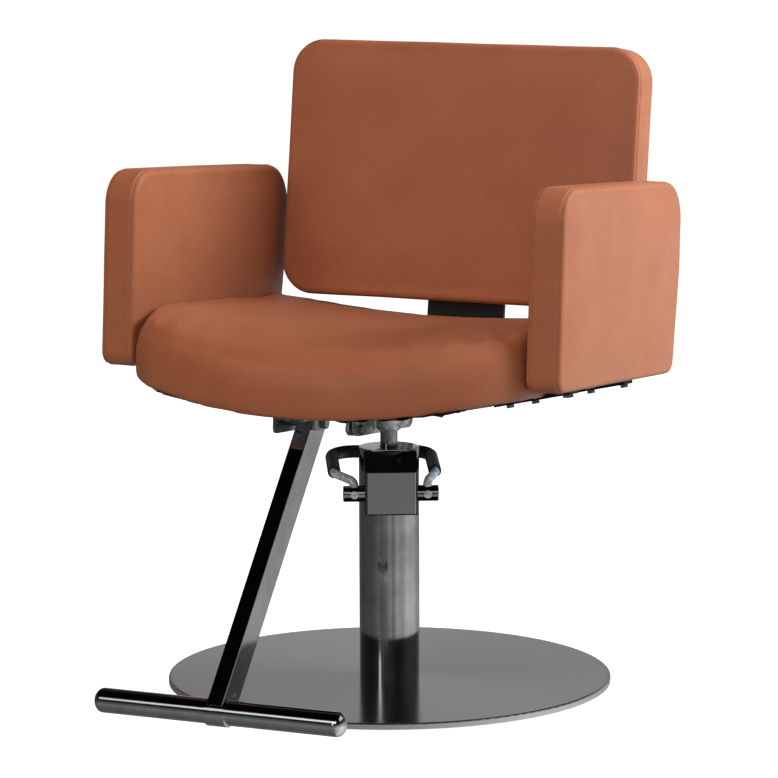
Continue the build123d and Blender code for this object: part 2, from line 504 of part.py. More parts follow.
def back_parts():
    pad = back_panel(0, 0, BACK_T)
    sides = pad.faces().sort_by(Axis.Y)
    pad = fillet(sides[0].edges() + sides[-1].edges(), BACK_EDGE_R)
    board = back_panel(BOARD_INSET, BACK_T - BOARD_FROM_REAR - BOARD_T, BACK_T - BOARD_FROM_REAR)
    bolt_up = hex_bolt(M8_R, STRAP_T + BOARD_FROM_REAR + BOARD_T - 2)
    bolts = [place * Pos(0, BACK_T + STRAP_T, 0) * Rot(90, 0, 0) * bolt_up for place in back_bolt_places()]
    holes = [place * Pos(0, BACK_T + STRAP_T, 0) * Rot(90, 0, 0) * rod(M8_R + 0.3, -9, 24)
             for place in back_bolt_places()]
    pad -= board
    strap = strap_part()
    for hole in holes:
        pad -= hole
        board -= hole
        strap -= BACK * hole
    leg_bolts = [place * Pos(0, 0, -STRAP_T) * hex_bolt(M8_R, STRAP_T + 12) for place in strap_bolt_places()]
    for place in strap_bolt_places():
        strap -= SEAT * place * rod(M8_R + 0.3, -15, 5)
    save("back_cushion", BACK * pad)
    save("back_board", BACK * board)
    save("back_bolts", BACK * Compound(children=bolts))
    save("back_strap", strap)
    save("strap_bolts", SEAT * Compound(children=leg_bolts))


def strap_part():
    """Bent steel flat: a leg under the seat pan, then up behind the seat along the back of the panel."""
    front = SEAT * Pos(0, STRAP_LEG_END, -STRAP_T / 2)
    top = BACK * Pos(0, BACK_T + STRAP_T / 2, STRAP_TOP)
    leg = (SEAT * Pos(0, STRAP_LEG_END + 100, -STRAP_T / 2)).position - front.position
    rise = top.position - (BACK * Pos(0, BACK_T + STRAP_T / 2, STRAP_TOP - 100)).position
    gap = top.position - front.position
    along = (gap.Y * rise.Z - gap.Z * rise.Y) / (leg.Y * rise.Z - leg.Z * rise.Y)
    corner = front.position + leg * along
    line = FilletPolyline(front.position, corner, top.position, radius=STRAP_BEND)
    section = Plane(line @ 0, x_dir=(1, 0, 0), z_dir=line % 0) * Rectangle(STRAP_W, STRAP_T)
    return sweep(section, path=line)


# ---------------------------------------------------------------- footrest
def footrest_parts():
    half = BAR_L / 2 - CAP_DOME
    at_bar = Pos(0, BAR_Y, BAR_Z)
    bar = cross_rod(BAR_R, -half, half) - cross_rod(BAR_R - BAR_WALL, -half - 1, half + 1)
    dome = Pos(half, 0, 0) * scale(Sphere(BAR_R), (CAP_DOME / BAR_R, 1, 1))
    dome &= block(half, half + 40, -40, 40, -40, 40)
    end_cap = dome + cross_rod(BAR_R - BAR_WALL, half - 14, half + 0.5)
    collar = cross_rod(BAR_R + COLLAR_T, -COLLAR_W / 2, COLLAR_W / 2) - cross_rod(BAR_R, -99, 99)
    lean = math.degrees(math.atan2(STRUT_TOP_Y - BAR_Y, STRUT_TOP_Z - BAR_Z))
    length = math.hypot(STRUT_TOP_Y - BAR_Y, STRUT_TOP_Z - BAR_Z)
    strut_frame = Pos(0, BAR_Y, BAR_Z) * Rot(-lean, 0, 0)
    outer = block(-STRUT_W / 2, STRUT_W / 2, -STRUT_D / 2, STRUT_D / 2, 0, length + 60)
    outer = fillet(outer.edges().filter_by(Axis.Z), 1.5)
    inner = block(-STRUT_W / 2 + STRUT_WALL, STRUT_W / 2 - STRUT_WALL, -STRUT_D / 2 + STRUT_WALL,
                  STRUT_D / 2 - STRUT_WALL, -1, length + 61)
    strut = strut_frame * (outer - inner)
    strut -= at_bar * cross_rod(BAR_R + COLLAR_T, -60, 60)
    strut -= SEAT * block(-90, 90, -400, 0, -BRACKET_T, 200)
    bracket = block(BRACKET_LEFT, BRACKET_RIGHT, BRACKET_FRONT, BRACKET_REAR, -BRACKET_T, 0)
    left = block(BRACKET_LEFT, BRACKET_LEFT + BRACKET_T, BRACKET_FRONT, BRACKET_REAR, -BRACKET_DEPTH, 0)
    right_in = BRACKET_RIGHT - BRACKET_T
    right = block(right_in, BRACKET_RIGHT, BRACKET_FRONT_RIGHT, BRACKET_REAR, -BRACKET_DEPTH_RIGHT, 0)
    for flange in (left, right):
        bracket += fillet(flange.edges().filter_by(Axis.X).group_by(Axis.Z)[0], BRACKET_CORNER)
    bolt_at = (FOOT_BOLT_Y, FOOT_BOLT_Z)
    bolt_hole = cross_rod(M8_R, BRACKET_LEFT - 9, BRACKET_RIGHT + 9, *bolt_at)
    bolt = cross_hex(M8_R, BRACKET_RIGHT, *bolt_at)
    bolt += cross_rod(M8_R, BRACKET_LEFT, BRACKET_RIGHT, *bolt_at)
    bolt += cross_hex(M8_R, BRACKET_LEFT - HEX_HEIGHT * M8_R, *bolt_at)
    spacer = cross_rod(SPACER_R, BRACKET_LEFT + BRACKET_T, -STRUT_W / 2, *bolt_at)
    spacer += cross_rod(SPACER_R, STRUT_W / 2, right_in, *bolt_at)
    screws = []
    for place in bracket_screw_places():
        head = place * Pos(0, 0, -BRACKET_T) * rod(2 * SCREW_R, -2, 0)
        screws.append(head + place * rod(SCREW_R, -BRACKET_T, 9))
        bracket -= place * rod(SCREW_R, -9, 1)
    screw_z = BAR_R + COLLAR_T + 8
    strut_screw = strut_frame * Pos(STRUT_W / 2, 0, screw_z) * Rot(0, 90, 0) * rod(SCREW_R, -STRUT_WALL, 2.4)
    screw_hole = strut_frame * Pos(0, 0, screw_z) * Rot(0, 90, 0) * rod(SCREW_R, 0, 40)
    save("footrest_bar", at_bar * bar)
    save("footrest_end_caps", at_bar * both_sides(end_cap))
    save("footrest_collar", at_bar * collar)
    save("footrest_strut", strut - SEAT * bolt_hole - screw_hole)
    save("footrest_bracket", SEAT * (bracket - bolt_hole))
    save("footrest_bolt", SEAT * bolt)
    save("footrest_spacers", SEAT * (spacer - bolt_hole))
    save("footrest_bracket_screws", SEAT * Compound(children=screws))
    save("footrest_screw", strut_screw)


os.makedirs("parts", exist_ok=True)
base_parts()
column_parts()
pump_parts()
pedal_parts()
cam_and_plunger()
ram_parts()
seat_parts()
mount_parts()
arm_parts()
back_parts()
footrest_parts()
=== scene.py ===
import json
import math

import bmesh
import bpy
import numpy as np
from mathutils import Euler, Matrix, Vector, kdtree


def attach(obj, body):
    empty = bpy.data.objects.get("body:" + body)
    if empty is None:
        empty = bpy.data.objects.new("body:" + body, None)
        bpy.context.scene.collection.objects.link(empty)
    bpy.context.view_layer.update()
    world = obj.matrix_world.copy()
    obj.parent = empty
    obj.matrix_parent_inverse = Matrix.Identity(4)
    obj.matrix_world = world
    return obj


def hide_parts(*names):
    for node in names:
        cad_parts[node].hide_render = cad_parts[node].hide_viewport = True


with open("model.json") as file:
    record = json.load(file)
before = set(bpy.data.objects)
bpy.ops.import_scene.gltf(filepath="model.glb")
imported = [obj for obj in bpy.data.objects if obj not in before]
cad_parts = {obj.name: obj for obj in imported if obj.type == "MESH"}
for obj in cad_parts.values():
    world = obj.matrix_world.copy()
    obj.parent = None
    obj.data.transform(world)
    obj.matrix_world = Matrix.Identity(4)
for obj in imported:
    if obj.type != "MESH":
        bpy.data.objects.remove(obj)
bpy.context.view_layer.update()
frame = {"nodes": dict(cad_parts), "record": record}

MM = 0.001

# Sizes of the upholstery, as in the CAD part: millimetres and degrees until a mesh is made.
PAN_Z, RAKE = 391.0, 4.1
BACK_FRONT_Y, BACK_BOTTOM_Z, RECLINE = 205.0, 504.5, 8.0
ARM_T, ARM_INNER_X, ARM_TOE, ARM_TURN_Y = 50.0, 287.5, 1.2, -195.0
ARM_FRONT, ARM_REAR, ARM_REAR_LOW = -209.0, 242.0, 225.0
ARM_BOTTOM, ARM_BEND_Z, ARM_TOP = 43.5, 189.5, 309.5
ARM_LOW_R, ARM_BEND_R, ARM_TOP_REAR_R, ARM_TOP_FRONT_R = 20.0, 200.0, 56.0, 46.0
BACK_W, BACK_H, BACK_T, BACK_CORNER = 536.0, 364.0, 57.0, 46.0
EDGE_R = 9.0
SADDLE_HALF, SADDLE_RISE = 287.0, 36.5  # the seat pan is bent: its sides stand this much above its middle

# The seat's frame is on the underside of its pan, and the back's is at the foot of its front face.
SEAT = Matrix.Translation((0, 0, PAN_Z * MM)) @ Matrix.Rotation(math.radians(-RAKE), 4, "X")
BACK_PLACE = Matrix.Translation((0, BACK_FRONT_Y * MM, BACK_BOTTOM_Z * MM))
BACK = BACK_PLACE @ Matrix.Rotation(math.radians(-RECLINE), 4, "X")

# Sewing and stuffing, in millimetres.
BAND_STEPS, BEND_STEPS = 7, 11  # rings of points on half the boxing band, and round an edge
FACE_RINGS, FACE_SPREAD = 26, 1.35  # rings on a face, drawn together towards its rim
SEAM_SHARE = 0.22  # how far round the edge's bend the seam lies
SEAM_DEPTH, SEAM_HALF = 1.7, 1.3
ROLL_HEIGHT, ROLL_OFF, ROLL_HALF = 0.35, 4.2, 2.2  # the soft rolls on both sides of a seam
WAVE_COUNT, WAVE_RATE, WAVE_DEPTH = 6, 26.0, 0.10  # slight unevenness of the padding
CLOTH_FRAMES = 20

# Zones of the seat cushion in its frame: each is where it starts or ends, and the length of its fade.
CROWN_ABOVE, CROWN_BEFORE, CROWN_WITHIN = (35, 30), (200, 30), (284, 22)
FRONT_BEFORE, CORNER_BEYOND = (-120, 60), (200, 60)
LIP_BELOW, LIP_DROP = (16, 10), 3.6  # the cover's turned-under edge hangs below the pan
HELD_BELOW, HELD_BEHIND, HELD_BESIDE, HELD_AFTER = (75, 35), (205, 15), (262, 10), (-205, 30)

# Dust cloth in the seat's frame.
CLOTH_STEP = 6.0
CLOTH_FRONT, CLOTH_BOW, CLOTH_SHOULDER, CLOTH_REAR = -294.0, 17.0, 215.0, 208.0
CLOTH_SIDE, CLOTH_SIDE_Y, CLOTH_TAPER = 272.0, -195.0, 0.02
CLOTH_SWEEP, CLOTH_SWEEP_POWER = 0.24, 1.6  # how its front edge runs back beyond its shoulders
CLOTH_T, CLOTH_SAG, CLOTH_SLACK, CLOTH_RIPPLE = 0.6, 2.5, 3.6, 2.6
CLOTH_GAP = 1.0
SLACK_REACH, SAG_REACH = 14, 60  # how far in from its edge the cloth is slack, and sags to its full depth
LOOSE_BEYOND, LOOSE_BEFORE, LEAST_LOOSE = (-10, 90), (40, 80), (0.1, 0.15)
MOUNT_OPENING, STRAP_OPENING = (-79, 79, -79, 79), (-63, 63, 62, 240)
BRACKET_OPENING = (-32, 21, -320, -208)
ARM_STRIP_X, ARM_STRIP_PLACES, ARM_STRIP_OPENING = 230, (-100, 95), (55, 24)

PLATE_RIM = (0.3026, 0.3033)  # the radii, in metres, where the base plate's rim begins and is full
FAN_HIGHLIGHT_TURN = math.radians(61.0)  # twice the angle of the painted highlight fans across the base plate

COOL, NEUTRAL = (0.66, 0.86, 1.0), (1.0, 1.0, 1.0)
# Area lights: place, aim, width and height, power, colour.
LIGHTS = {
    "key": ((2.8, 1.5, 2.0), (0, 0, 0.6), (2.4, 2.0), 345, COOL),
    "rim": ((1.9, 3.6, 0.9), (0, 0, 0.6), (2.6, 2.0), 52, COOL),
    "front_fill": ((-0.6, -4.4, 1.7), (0, 0, 0.6), (2.6, 1.8), 98, NEUTRAL),
    "top_soft": ((0.3, -0.3, 3.6), (0, 0, 0.5), (2.4, 2.4), 60, NEUTRAL),
}

# What the metal reflects. A turn goes round the horizon: -X is 0, -Y is 0.25, +X is 0.5 and +Y is 0.75.
# A height goes from straight down (0) through the horizon (0.5) to straight up (1).
FLOOR_BY_TURN = [(0.0, 0.07), (0.14, 0.09), (0.20, 0.15), (0.24, 0.12), (0.29, 0.17), (0.33, 0.30),
                 (0.36, 0.18), (0.40, 0.42), (0.46, 0.36), (0.52, 0.62), (0.62, 0.56), (0.67, 0.38),
                 (0.78, 0.26), (0.86, 0.10), (1.0, 0.06)]
FLOOR_BY_HEIGHT = [(0.0, 0.8), (0.36, 1.0), (0.405, 0.5), (1.0, 0.5)]
FLOOR_GAIN = 2.0
WALLS_BY_TURN = [(0.0, 0.05), (0.2, 0.02), (0.42, 0.02), (0.50, 0.06), (0.66, 0.10), (0.73, 0.34),
                 (0.78, 0.62), (0.82, 0.52), (0.87, 0.40), (0.92, 0.12), (1.0, 0.05)]
WALLS_BY_HEIGHT = [(0.5, 1.0), (0.60, 0.85), (0.69, 0.08), (1.0, 0.03)]
HORIZON = [(0.495, 0.0), (0.53, 1.0)]
# Bright boxes: the heights and turns where each begins, is full, is still full and ends, and its strength.
BOXES = (
    ((0.665, 0.675, 0.77, 0.785), (0.14, 0.19, 0.34, 0.38), 2.2),
    ((0.66, 0.72, 0.84, 0.88), (0.48, 0.52, 0.62, 0.66), 0.9),
    ((0.52, 0.545, 0.61, 0.635), (0.200, 0.208, 0.222, 0.230), 2.4),
)


# ---------------------------------------------------------------- node materials
def rgb(r, g, b):
    return (r, g, b, 1.0)


class Nodes:
    """Shorthand for building a node tree."""

    def __init__(self, tree):
        self.tree = tree

    def plug(self, socket, value):
        if isinstance(value, bpy.types.NodeSocket):
            self.tree.links.new(value, socket)
        else:
            socket.default_value = value

    def add(self, kind, inputs=None, **settings):
        node = self.tree.nodes.new(kind)
        for key, value in settings.items():
            setattr(node, key, value)
        for key, value in (inputs or {}).items():
            self.plug(node.inputs[key], value)
        return node

    def math(self, operation, a, b=0.0):
        return self.add("ShaderNodeMath", {0: a, 1: b}, operation=operation).outputs[0]

    def ramp(self, factor, stops):
        """A ramp whose stops are (position, grey)."""
        node = self.add("ShaderNodeValToRGB", {"Fac": factor})
        ramp = node.color_ramp
        while len(ramp.elements) < len(stops):
            ramp.elements.new(0.5)
        for element, (position, value) in zip(ramp.elements, stops):
            element.position = position
            element.color = rgb(value, value, value)
        return node.outputs["Color"]

    def noise(self, vector, scale, detail=2.0, roughness=0.5):
        inputs = {"Vector": vector, "Scale": scale, "Detail": detail, "Roughness": roughness}
        return self.add("ShaderNodeTexNoise", inputs).outputs["Fac"]

    def stretch(self, vector, factors):
        return self.add("ShaderNodeVectorMath", {0: vector, 1: factors}, operation="MULTIPLY").outputs[0]

    def mix(self, factor, a, b):
        node = self.add("ShaderNodeMix", data_type="RGBA")
        for socket, value in ((node.inputs[0], factor), (node.inputs[6], a), (node.inputs[7], b)):
            self.plug(socket, value)
        return node.outputs[2]

    def between(self, factor, low, high, a, b):
        """Colour a where the factor is low or less, b where it is high or more, and a blend between."""
        return self.mix(self.ramp(factor, [(low, 0.0), (high, 1.0)]), rgb(*a), rgb(*b))

    def product(self, a, b):
        made = self.mix(1.0, a, b)
        made.node.blend_type = "MULTIPLY"
        return made

    def bump(self, height, distance, strength=1.0, below=None):
        inputs = {"Height": height, "Distance": distance, "Strength": strength}
        if below is not None:
            inputs["Normal"] = below
        return self.add("ShaderNodeBump", inputs).outputs["Normal"]


def surface(colour, roughness, normal):
    return {"Base Color": colour, "Roughness": roughness, "Normal": normal}


def material(name, build, **fixed):
    """A Principled material: build(nodes, where) returns its linked inputs, fixed holds plain values."""
    made = bpy.data.materials.new(name)
    made.use_nodes = True
    shader = made.node_tree.nodes["Principled BSDF"]
    nodes = Nodes(made.node_tree)
    where = nodes.add("ShaderNodeTexCoord").outputs["Object"]
    for key, value in fixed.items():
        shader.inputs[key.replace("_", " ")].default_value = value
    for key, socket in build(nodes, where).items():
        made.node_tree.links.new(socket, shader.inputs[key])
    return made


def vinyl(nodes, where):
    """Terracotta upholstery vinyl: pebbled grain over a soft mottle."""
    mottle = nodes.noise(where, 14.0, 3.0)
    fleck = nodes.noise(where, 420.0, 2.0, 0.7)
    tone = nodes.between(mottle, 0.3, 0.7, (0.300, 0.088, 0.037), (0.335, 0.101, 0.0435))
    colour = nodes.mix(nodes.ramp(fleck, [(0.35, 0.0), (0.65, 0.42)]), tone, rgb(0.245, 0.068, 0.028))
    grain = nodes.add("ShaderNodeTexVoronoi", {"Vector": where, "Scale": 620.0, "Smoothness": 0.6},
                      feature="SMOOTH_F1").outputs["Distance"]
    wrinkle = nodes.noise(where, 60.0, 4.0, 0.6)
    height = nodes.math("ADD", nodes.math("MULTIPLY", grain, 0.6), nodes.math("MULTIPLY", fleck, 0.5))
    soft = nodes.bump(wrinkle, 0.0012, 0.16)
    rough = nodes.ramp(nodes.noise(where, 90.0, 3.0), [(0.25, 0.42), (0.75, 0.54)])
    return surface(colour, rough, nodes.bump(height, 0.0006, 0.5, soft))


def radial_brush(nodes, where):
    """Brushing in circles round Z, with painted highlight fans across it, and a rim painted paler as a
    highlight and made duller.
    """
    split = nodes.add("ShaderNodeSeparateXYZ", {"Vector": where}).outputs
    flat = nodes.stretch(where, (1, 1, 0))
    radius = nodes.add("ShaderNodeVectorMath", {0: flat}, operation="LENGTH").outputs["Value"]
    angle = nodes.math("ARCTAN2", split["Y"], split["X"])
    turned = nodes.add("ShaderNodeCombineXYZ", {"X": nodes.math("MULTIPLY", radius, 900.0),
                                                "Y": nodes.math("MULTIPLY", angle, 0.8)}).outputs[0]
    lines = nodes.noise(turned, 1.0, 3.0, 0.7)
    # Two opposite fans of paler colour: painted highlight in place of the brushed plate's reflection.
    figure = nodes.math("COSINE", nodes.math("ADD", nodes.math("MULTIPLY", angle, 2.0), FAN_HIGHLIGHT_TURN))
    figure = nodes.math("MULTIPLY", nodes.math("ADD", figure, 1.0), 0.5)
    base = nodes.between(lines, 0.3, 0.7, (0.325, 0.325, 0.33), (0.36, 0.36, 0.365))
    base = nodes.mix(nodes.ramp(figure, [(0.15, 0.0), (0.95, 0.9)]), base, rgb(0.46, 0.46, 0.465))
    rim = nodes.ramp(radius, [(PLATE_RIM[0], 0.0), (PLATE_RIM[1], 1.0)])
    # The rim's paler colour is painted highlight; its higher roughness is the edge's duller finish.
    base = nodes.mix(rim, base, rgb(0.70, 0.70, 0.705))
    rough = nodes.mix(rim, nodes.ramp(lines, [(0.25, 0.12), (0.75, 0.16)]), rgb(0.45, 0.45, 0.45))
    tangent = nodes.add("ShaderNodeTangent", direction_type="RADIAL", axis="Z").outputs[0]
    return surface(base, rough, nodes.bump(lines, 0.000004, 0.3)) | {"Tangent": tangent}


def upright_polish(nodes, where):
    """Chromed tube with faint upright polishing lines, a slightly wavy skin and a few smudges."""
    lines = nodes.noise(nodes.stretch(where, (1, 1, 0.02)), 700.0, 3.0, 0.7)
    smudge = nodes.noise(where, 22.0, 3.0, 0.6)
    base = nodes.between(smudge, 0.35, 0.7, (0.40, 0.40, 0.41), (0.60, 0.60, 0.605))
    rough = nodes.ramp(smudge, [(0.3, 0.05), (0.7, 0.11)])
    wave = nodes.bump(nodes.noise(nodes.stretch(where, (1, 1, 0.25)), 40.0, 2.0), 0.0006, 0.25)
    return surface(base, rough, nodes.bump(lines, 0.00001, 0.3, wave))


def polish(nodes, where):
    """Bright plating, with hairline scratches and slight haze."""
    haze = nodes.noise(where, 35.0, 4.0, 0.6)
    hair = nodes.noise(nodes.stretch(where, (1, 0.15, 1)), 900.0, 2.0)
    base = nodes.between(haze, 0.3, 0.7, (0.50, 0.50, 0.51), (0.60, 0.60, 0.61))
    rough = nodes.ramp(haze, [(0.3, 0.06), (0.75, 0.15)])
    return surface(base, rough, nodes.bump(hair, 0.00001, 0.4))


def shaded_polish(nodes, where):
    """Plating given a dark base colour as painted shade, with a random grimy mottle."""
    grime = nodes.noise(where, 60.0, 4.0, 0.6)
    # Both tones are far darker than bare plating: painted shade.
    base = nodes.between(grime, 0.35, 0.7, (0.22, 0.22, 0.23), (0.40, 0.40, 0.41))
    rough = nodes.ramp(grime, [(0.3, 0.10), (0.75, 0.24)])
    return surface(base, rough, nodes.bump(grime, 0.00002, 0.4))


def straight_brush(nodes, where):
    """Sheet steel brushed up and down."""
    lines = nodes.noise(nodes.stretch(where, (1, 1, 0.03)), 1100.0, 3.0, 0.7)
    base = nodes.between(lines, 0.3, 0.7, (0.37, 0.37, 0.375), (0.41, 0.41, 0.415))
    rough = nodes.ramp(lines, [(0.3, 0.30), (0.7, 0.36)])
    return surface(base, rough, nodes.bump(lines, 0.00001, 0.4))


def enamel(nodes, where):
    """Black stoved enamel with an orange-peel skin and rubbed spots."""
    peel = nodes.noise(where, 260.0, 2.0)
    rub = nodes.noise(where, 45.0, 5.0, 0.65)
    base = nodes.between(rub, 0.6, 0.75, (0.006, 0.006, 0.0065), (0.014, 0.014, 0.015))
    rough = nodes.ramp(rub, [(0.3, 0.22), (0.8, 0.42)])
    return surface(base, rough, nodes.bump(peel, 0.0001, 0.35))


def rubber(nodes, where):
    """Moulded black rubber with a dusty bloom."""
    bloom = nodes.noise(where, 30.0, 4.0, 0.6)
    skin = nodes.noise(where, 800.0, 2.0, 0.6)
    base = nodes.between(bloom, 0.35, 0.8, (0.010, 0.010, 0.011), (0.024, 0.024, 0.026))
    rough = nodes.ramp(bloom, [(0.3, 0.42), (0.8, 0.62)])
    return surface(base, rough, nodes.bump(skin, 0.0001, 0.4))


def plated_steel(nodes, where):
    """Zinc-plated fasteners, slightly mottled."""
    mottle = nodes.noise(where, 180.0, 4.0, 0.6)
    base = nodes.between(mottle, 0.3, 0.7, (0.28, 0.28, 0.29), (0.45, 0.45, 0.46))
    rough = nodes.ramp(mottle, [(0.3, 0.25), (0.7, 0.42)])
    return surface(base, rough, nodes.bump(mottle, 0.00005, 0.4))


def sintered(nodes, where):
    """Oily porous bronze."""
    pores = nodes.noise(where, 900.0, 3.0, 0.7)
    base = nodes.between(pores, 0.35, 0.6, (0.26, 0.16, 0.07), (0.52, 0.35, 0.17))
    rough = nodes.ramp(pores, [(0.3, 0.3), (0.7, 0.5)])
    return surface(base, rough, nodes.bump(pores, 0.00008, 0.5))


def casting(nodes, where):
    """Machined aluminium with turning lines."""
    lines = nodes.noise(nodes.stretch(where, (0.1, 0.1, 1)), 1500.0, 2.0)
    base = nodes.between(lines, 0.3, 0.7, (0.52, 0.52, 0.53), (0.66, 0.66, 0.67))
    rough = nodes.ramp(lines, [(0.3, 0.25), (0.7, 0.4)])
    return surface(base, rough, nodes.bump(lines, 0.00004, 0.5))


def plywood(nodes, where):
    """Rotary-cut veneer: long figure in the faces, with darker patches."""
    warp = nodes.noise(where, 6.0, 3.0)
    figure = nodes.add("ShaderNodeTexWave", {"Vector": nodes.stretch(where, (1, 0.12, 1)), "Scale": 22.0,
                                             "Distortion": 7.0, "Detail": 3.0}).outputs["Fac"]
    fibre = nodes.noise(nodes.stretch(where, (1, 0.04, 1)), 900.0, 2.0)
    base = nodes.between(figure, 0.2, 0.9, (0.36, 0.22, 0.11), (0.55, 0.38, 0.21))
    base = nodes.mix(nodes.ramp(warp, [(0.4, 0.0), (0.8, 0.3)]), base, rgb(0.30, 0.18, 0.09))
    rough = nodes.ramp(fibre, [(0.3, 0.55), (0.7, 0.75)])
    return surface(base, rough, nodes.bump(fibre, 0.0001, 0.5))


def stained(nodes, where):
    """Plywood stained black under its cloth."""
    fibre = nodes.noise(nodes.stretch(where, (1, 0.04, 1)), 900.0, 2.0)
    base = nodes.between(fibre, 0.3, 0.7, (0.010, 0.008, 0.007), (0.022, 0.018, 0.015))
    rough = nodes.ramp(fibre, [(0.3, 0.6), (0.7, 0.8)])
    return surface(base, rough, nodes.bump(fibre, 0.0001, 0.5))


def weathered(nodes, where):
    """Plated steel gone blotchy: bright where it is rubbed, dark in between, and finely pitted."""
    blotch = nodes.noise(where, 70.0, 5.0, 0.65)
    pits = nodes.noise(where, 260.0, 3.0, 0.6)
    base = nodes.between(blotch, 0.36, 0.58, (0.10, 0.10, 0.105), (0.74, 0.74, 0.75))
    rough = nodes.ramp(pits, [(0.3, 0.28), (0.7, 0.5)])
    return surface(base, rough, nodes.bump(pits, 0.0002, 0.5))


def highlit_plate(nodes, where):
    """Pale, partly diffuse zinc as a painted highlight for the glare on the rods and screws, with a few
    dull spots.
    """
    dull = nodes.noise(where, 150.0, 4.0, 0.6)
    base = nodes.between(dull, 0.35, 0.6, (0.34, 0.34, 0.345), (0.66, 0.66, 0.665))
    rough = nodes.ramp(dull, [(0.3, 0.18), (0.7, 0.32)])
    return surface(base, rough, nodes.bump(dull, 0.00004, 0.4))


def cambric(nodes, where):
    """Black dust cloth: pressed fibres in a fine embossed pattern."""
    fibre = nodes.noise(where, 1200.0, 4.0, 0.7)
    dots = nodes.add("ShaderNodeTexVoronoi", {"Vector": where, "Scale": 500.0}).outputs["Distance"]
    base = nodes.between(fibre, 0.3, 0.7, (0.006, 0.006, 0.007), (0.018, 0.018, 0.02))
    height = nodes.math("ADD", fibre, nodes.math("MULTIPLY", dots, 0.5))
    rough = nodes.ramp(fibre, [(0.3, 0.75), (0.7, 0.95)])
    return surface(base, rough, nodes.bump(height, 0.0002, 0.6))


LOOKS = {
    "terracotta_vinyl": material("terracotta_vinyl", vinyl, Specular_IOR_Level=0.42, Sheen_Weight=0.02,
                                 Sheen_Roughness=0.35),
    "brushed_stainless": material("brushed_stainless", radial_brush, Metallic=1.0, Anisotropic=0.35),
    "satin_chrome": material("satin_chrome", upright_polish, Metallic=1.0),
    "polished_chrome": material("polished_chrome", polish, Metallic=1.0),
    "brushed_cover": material("brushed_cover", straight_brush, Metallic=1.0, Anisotropic=0.5),
    # A darker copy of the chrome: painted shade on the parts that look dark.
    "shaded_chrome": material("shaded_chrome", shaded_polish, Metallic=1.0),
    "weathered_zinc": material("weathered_zinc", weathered, Metallic=0.8),
    # Pale and only partly metallic: a painted highlight on the pedal rod and set screws.
    "highlit_zinc": material("highlit_zinc", highlit_plate, Metallic=0.35),
    "stained_plywood": material("stained_plywood", stained),
    "black_gloss": material("black_gloss", enamel, Specular_IOR_Level=0.5),
    "black_enamel": material("black_enamel", enamel, Specular_IOR_Level=0.35),
    "black_rubber": material("black_rubber", rubber),
    "plain_steel": material("plain_steel", plated_steel, Metallic=1.0),
    "bronze": material("bronze", sintered, Metallic=1.0),
    "cast_aluminium": material("cast_aluminium", casting, Metallic=1.0),
    "plywood": material("plywood", plywood),
    "black_cambric": material("black_cambric", cambric, Specular_IOR_Level=0.08),
}
# Nodes whose look is a variant of their material slot's.
NODE_LOOKS = {
    "pump_cover_plate": "brushed_cover",
    "pump_head": "black_gloss",
    "pedal_shaft": "shaded_chrome",
    "pedal_rod": "highlit_zinc",
    "pedal_set_screws": "highlit_zinc",
    "ram": "shaded_chrome",
    "hub_bush": "shaded_chrome",
    "thrust_washer": "shaded_chrome",
    "swivel_channel": "weathered_zinc",
    "swivel_hub": "weathered_zinc",
    "footrest_bracket": "shaded_chrome",
    "seat_pan": "stained_plywood",
}


def dress_cad_nodes():
    for part in frame["record"]["subparts"]:
        look = LOOKS[NODE_LOOKS.get(part["node"], part["material_slot"])]
        materials = frame["nodes"][part["node"]].data.materials
        materials.clear()
        materials.append(look)


# ---------------------------------------------------------------- meshes
def in_scene(name, data):
    obj = bpy.data.objects.new(name, data)
    bpy.context.scene.collection.objects.link(obj)
    return obj


def new_object(name, points, faces, look):
    """A smooth-shaded mesh object from points in metres in the object's frame."""
    mesh = bpy.data.meshes.new(name)
    mesh.from_pydata([tuple(p) for p in points], [], [tuple(f) for f in faces])
    mesh.validate()
    mesh.shade_smooth()
    mesh.materials.append(LOOKS[look])
    return in_scene(name, mesh)


def points_of(mesh):
    co = np.empty(len(mesh.vertices) * 3)
    mesh.vertices.foreach_get("co", co)
    return co.reshape(-1, 3)


def set_points(mesh, co):
    mesh.vertices.foreach_set("co", np.asarray(co, float).ravel())
    mesh.update()


def outward(mesh, co):
    """The points' normals, turned away from the middle of the mesh."""
    normals = np.empty(len(mesh.vertices) * 3)
    mesh.vertex_normals.foreach_get("vector", normals)
    normals = normals.reshape(-1, 3)
    return normals if ((co - co.mean(0)) * normals).sum() > 0 else -normals


def moved_by(matrix, co):
    a = np.array(matrix)
    return co @ a[:3, :3].T + a[:3, 3]


def tree_of(points):
    tree = kdtree.KDTree(len(points))
    for i, point in enumerate(points):
        tree.insert(point, i)
    tree.balance()
    return tree


def rising(values, start, fade):
    """0 up to start, and 1 from a fade's length after it."""
    return np.clip((values - start) / fade, 0, 1)


def falling(values, end, fade):
    """1 up to a fade's length before the end, and 0 after it."""
    return np.clip((end - values) / fade, 0, 1)


def saddle_z(x):
    """Height of the bent seat pan's underside in the seat's frame."""
    radius = (SADDLE_HALF**2 + SADDLE_RISE**2) / (2 * SADDLE_RISE)
    return radius - np.sqrt(radius**2 - x**2)


